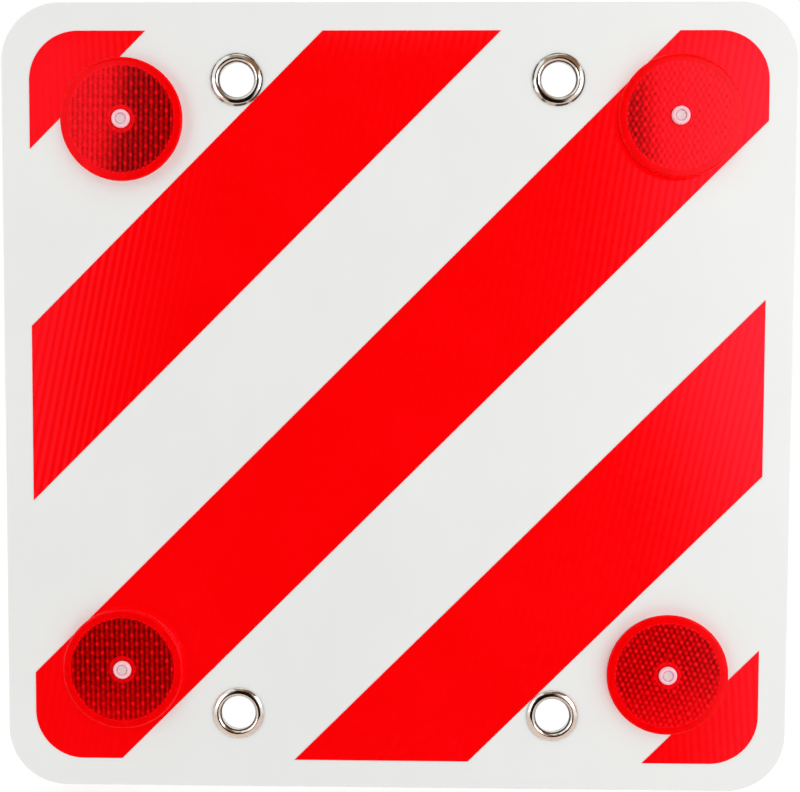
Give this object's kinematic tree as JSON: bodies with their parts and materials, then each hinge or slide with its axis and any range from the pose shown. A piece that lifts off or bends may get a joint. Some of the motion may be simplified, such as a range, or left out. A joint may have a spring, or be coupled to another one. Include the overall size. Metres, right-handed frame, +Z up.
{
  "type": "overhanging load sign",
  "caption": "Square plastic warning plate with diagonal red bands, a riveted round reflector near each corner and eyelets for lashing it on.",
  "frame": {"origin": "centre of the four eyelets' pattern, on the plate's back face, which is the plate's centre too", "axes": "+Z up the plate, +X to the right seen from the front, the striped front faces -Y and +Y points into the load that the plate hangs against"},
  "size_m": [0.5, 0.0174, 0.5],
  "materials": {
    "plate_white": "satin",
    "film_red": "satin",
    "lens_red": "polished",
    "reflector_back_white": "satin",
    "rivet_nylon": "satin",
    "rivet_pin_nylon": "satin",
    "eyelet_nickel": "polished",
    "washer_nickel": "satin"
  },
  "bodies": {
    "root": {"plate": "plate_white", "red_corner_upper_left": "film_red", "red_band_upper_left": "film_red", "red_band_centre": "film_red", "red_band_lower_right": "film_red", "red_corner_lower_right": "film_red", "reflector_lens_top_left": "lens_red", "reflector_back_top_left": "reflector_back_white", "rivet_sleeve_top_left": "rivet_nylon", "rivet_pin_top_left": "rivet_pin_nylon", "reflector_lens_top_right": "lens_red", "reflector_back_top_right": "reflector_back_white", "rivet_sleeve_top_right": "rivet_nylon", "rivet_pin_top_right": "rivet_pin_nylon", "reflector_lens_bottom_left": "lens_red", "reflector_back_bottom_left": "reflector_back_white", "rivet_sleeve_bottom_left": "rivet_nylon", "rivet_pin_bottom_left": "rivet_pin_nylon", "reflector_lens_bottom_right": "lens_red", "reflector_back_bottom_right": "reflector_back_white", "rivet_sleeve_bottom_right": "rivet_nylon", "rivet_pin_bottom_right": "rivet_pin_nylon", "eyelet_top_left": "eyelet_nickel", "eyelet_washer_top_left": "washer_nickel", "eyelet_top_right": "eyelet_nickel", "eyelet_washer_top_right": "washer_nickel", "eyelet_bottom_left": "eyelet_nickel", "eyelet_washer_bottom_left": "washer_nickel", "eyelet_bottom_right": "eyelet_nickel", "eyelet_washer_bottom_right": "washer_nickel"}
  },
  "joints": []
}
